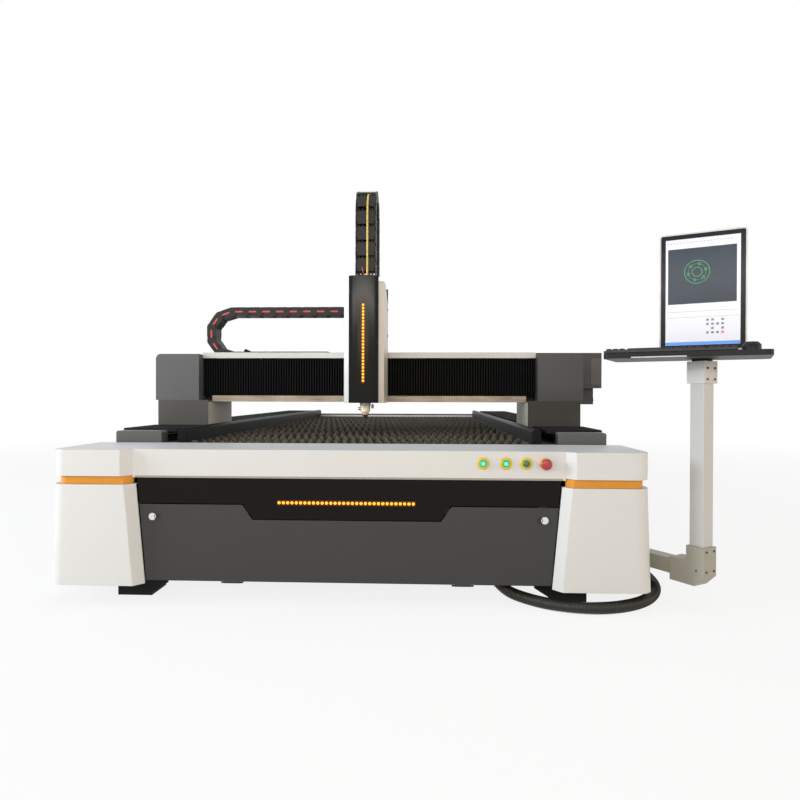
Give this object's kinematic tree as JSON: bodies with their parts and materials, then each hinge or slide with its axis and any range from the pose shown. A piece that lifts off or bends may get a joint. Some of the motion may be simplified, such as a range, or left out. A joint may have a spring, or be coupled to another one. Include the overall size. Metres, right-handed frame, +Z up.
{
  "type": "fiber laser cutting machine",
  "caption": "Flatbed laser cutter with a travelling gantry and cutting head over a toothed slat bed, white and grey covers, scrap drawers and a swing-arm console.",
  "frame": {"origin": "on the floor, in the middle of the pattern of anchor holes in the four corner feet", "axes": "+X to the operator's right along the gantry beam, +Y from the front of the bed to its rear, +Z up; metres"},
  "size_m": [2.7568, 4.2962, 1.84],
  "materials": {
    "white_paint": "semi-gloss powder coat",
    "grey_paint": "fine-textured powder coat",
    "frame_paint": "satin powder coat",
    "motor_grey": "satin powder coat",
    "orange_paint": "semi-gloss paint",
    "console_paint": "satin powder coat",
    "black_panel": "polished",
    "black_guard": "semi-gloss",
    "beam_steel": "satin",
    "steel": "ground",
    "slat_steel": "scorched, dull",
    "foot_iron": "painted, dull",
    "bellows_fabric": "coated cloth",
    "chain_plastic": "matt",
    "hose_plastic": "matt, ribbed",
    "black_plastic": "matt",
    "chrome": "polished",
    "yellow_ring": "moulded",
    "green_lens": "translucent",
    "dark_green_lens": "translucent",
    "red_plastic": "moulded",
    "amber_light": "translucent",
    "sensor_brass": "satin",
    "copper_nozzle": "turned",
    "monitor_silver": "satin",
    "screen_glass": "smooth"
  },
  "bodies": {
    "bed": {"side_beams": "frame_paint", "bed_cross_members": "frame_paint", "feet": "foot_iron", "bed_ledges": "frame_paint", "slats": "slat_steel", "centre_cover": "white_paint", "black_front_panel": "black_panel", "front_light_strip": "amber_light", "upper_corner_covers": "white_paint", "corner_stripes": "orange_paint", "lower_corner_covers": "white_paint", "button_rings": "yellow_ring", "rail_guards": "black_guard", "rail_end_boxes": "grey_paint", "gantry_rails": "steel", "bed_panels": "grey_paint", "right_side_brackets": "frame_paint", "hinge_pins": "steel", "hose_glands": "black_plastic", "cable_hose": "hose_plastic", "rail_bellows": "bellows_fabric", "y_chain": "chain_plastic"},
    "door": {"front_door": "grey_paint"},
    "gantry": {"gantry_legs": "motor_grey", "gantry_beam": "beam_steel", "beam_covers": "beam_steel", "gantry_covers": "motor_grey", "gantry_motors": "black_plastic", "beam_rails": "steel", "beam_bellows": "bellows_fabric", "x_chain": "chain_plastic"},
    "carriage": {"carriage_frame": "frame_paint", "carriage_motors": "black_plastic", "head_front_cover": "black_panel", "head_side_covers": "white_paint", "head_light_strip": "amber_light", "z_chain": "chain_plastic"},
    "z_axis": {"z_slide": "steel", "cutting_head": "sensor_brass", "nozzle": "copper_nozzle"},
    "arm": {"console_arm": "console_paint", "console_post": "console_paint"},
    "console_tray": {"tray": "black_plastic", "keyboard": "black_plastic", "mouse": "black_plastic", "monitor_stand": "monitor_silver"},
    "monitor": {"monitor_case": "monitor_silver", "monitor_screen": "screen_glass"},
    "left_lock": {"left_lock": "chrome"},
    "right_lock": {"right_lock": "chrome"},
    "start_button": {"start_button": "green_lens"},
    "ready_button": {"ready_button": "green_lens"},
    "reset_button": {"reset_button": "dark_green_lens"},
    "emergency_stop": {"emergency_stop": "red_plastic"},
    "front_drawer": {"front_drawer": "grey_paint"},
    "rear_drawer": {"rear_drawer": "grey_paint"},
    "left_pinion": {"left_pinion": "steel"},
    "right_pinion": {"right_pinion": "steel"},
    "x_pinion": {"x_pinion": "steel"},
    "z_screw": {"z_screw": "steel"}
  },
  "joints": [
    {"name": "y_travel", "type": "slide", "parent": "bed", "child": "gantry", "axis": [0, 1, 0], "range_m": [-0.3, 2.7], "deforming": ["rail_bellows", "y_chain"]},
    {"name": "x_travel", "type": "slide", "parent": "gantry", "child": "carriage", "axis": [1, 0, 0], "range_m": [-0.65, 0.65], "deforming": ["beam_bellows", "x_chain"]},
    {"name": "z_travel", "type": "slide", "parent": "carriage", "child": "z_axis", "axis": [0, 0, 1], "range_m": [-0.085, 0.035], "deforming": ["z_chain"]},
    {"name": "left_pinion_spin", "type": "hinge", "parent": "gantry", "child": "left_pinion", "pos_m": [-1.0257, -1.035, 0.609], "axis": [0, 0, 1], "range_deg": [-7200, 7200]},
    {"name": "right_pinion_spin", "type": "hinge", "parent": "gantry", "child": "right_pinion", "pos_m": [1.0257, -1.035, 0.609], "axis": [0, 0, 1], "range_deg": [-7200, 7200]},
    {"name": "x_pinion_spin", "type": "hinge", "parent": "carriage", "child": "x_pinion", "pos_m": [0.006, -1.142, 0.8957], "axis": [0, 1, 0], "range_deg": [-1750, 1750]},
    {"name": "z_screw_spin", "type": "hinge", "parent": "carriage", "child": "z_screw", "pos_m": [0.006, -1.288, 0.9], "axis": [0, 0, 1], "range_deg": [-3100, 1300]},
    {"name": "door_hinge", "type": "hinge", "parent": "bed", "child": "door", "pos_m": [0, -2.023, 0.088], "axis": [1, 0, 0], "range_deg": [0, 90]},
    {"name": "left_lock_turn", "type": "hinge", "parent": "door", "child": "left_lock", "pos_m": [-0.76, -2.035, 0.337], "axis": [0, 1, 0], "range_deg": [-90, 0]},
    {"name": "right_lock_turn", "type": "hinge", "parent": "door", "child": "right_lock", "pos_m": [0.76, -2.035, 0.337], "axis": [0, 1, 0], "range_deg": [0, 90]},
    {"name": "start_press", "type": "slide", "parent": "bed", "child": "start_button", "axis": [0, 1, 0], "range_m": [0, 0.004], "stiffness_N_per_m": 800},
    {"name": "ready_press", "type": "slide", "parent": "bed", "child": "ready_button", "axis": [0, 1, 0], "range_m": [0, 0.004], "stiffness_N_per_m": 800},
    {"name": "reset_press", "type": "slide", "parent": "bed", "child": "reset_button", "axis": [0, 1, 0], "range_m": [0, 0.004], "stiffness_N_per_m": 800},
    {"name": "emergency_stop_press", "type": "slide", "parent": "bed", "child": "emergency_stop", "axis": [0, 1, 0], "range_m": [0, 0.004]},
    {"name": "front_drawer_pull", "type": "slide", "parent": "bed", "child": "front_drawer", "axis": [-1, 0, 0], "range_m": [0, 1.2]},
    {"name": "rear_drawer_pull", "type": "slide", "parent": "bed", "child": "rear_drawer", "axis": [-1, 0, 0], "range_m": [0, 1.2]},
    {"name": "arm_swing", "type": "hinge", "parent": "bed", "child": "arm", "pos_m": [1.205, -1.75, 0.142], "axis": [0, 0, 1], "range_deg": [-30, 45]},
    {"name": "tray_swivel", "type": "hinge", "parent": "arm", "child": "console_tray", "pos_m": [1.359, -2, 0.945], "axis": [0, 0, 1], "range_deg": [-20, 20]},
    {"name": "monitor_tilt", "type": "hinge", "parent": "console_tray", "child": "monitor", "pos_m": [1.37856, -1.96059, 1.147], "axis": [0.8957, -0.4446, 0], "range_deg": [-20, 5]}
  ],
  "couplings": [
    {"joint": "left_pinion_spin", "follows": "y_travel", "rad_per_m": 45.834},
    {"joint": "right_pinion_spin", "follows": "y_travel", "rad_per_m": -45.834},
    {"joint": "x_pinion_spin", "follows": "x_travel", "rad_per_m": -45.834},
    {"joint": "z_screw_spin", "follows": "z_travel", "rad_per_m": 628.32}
  ]
}
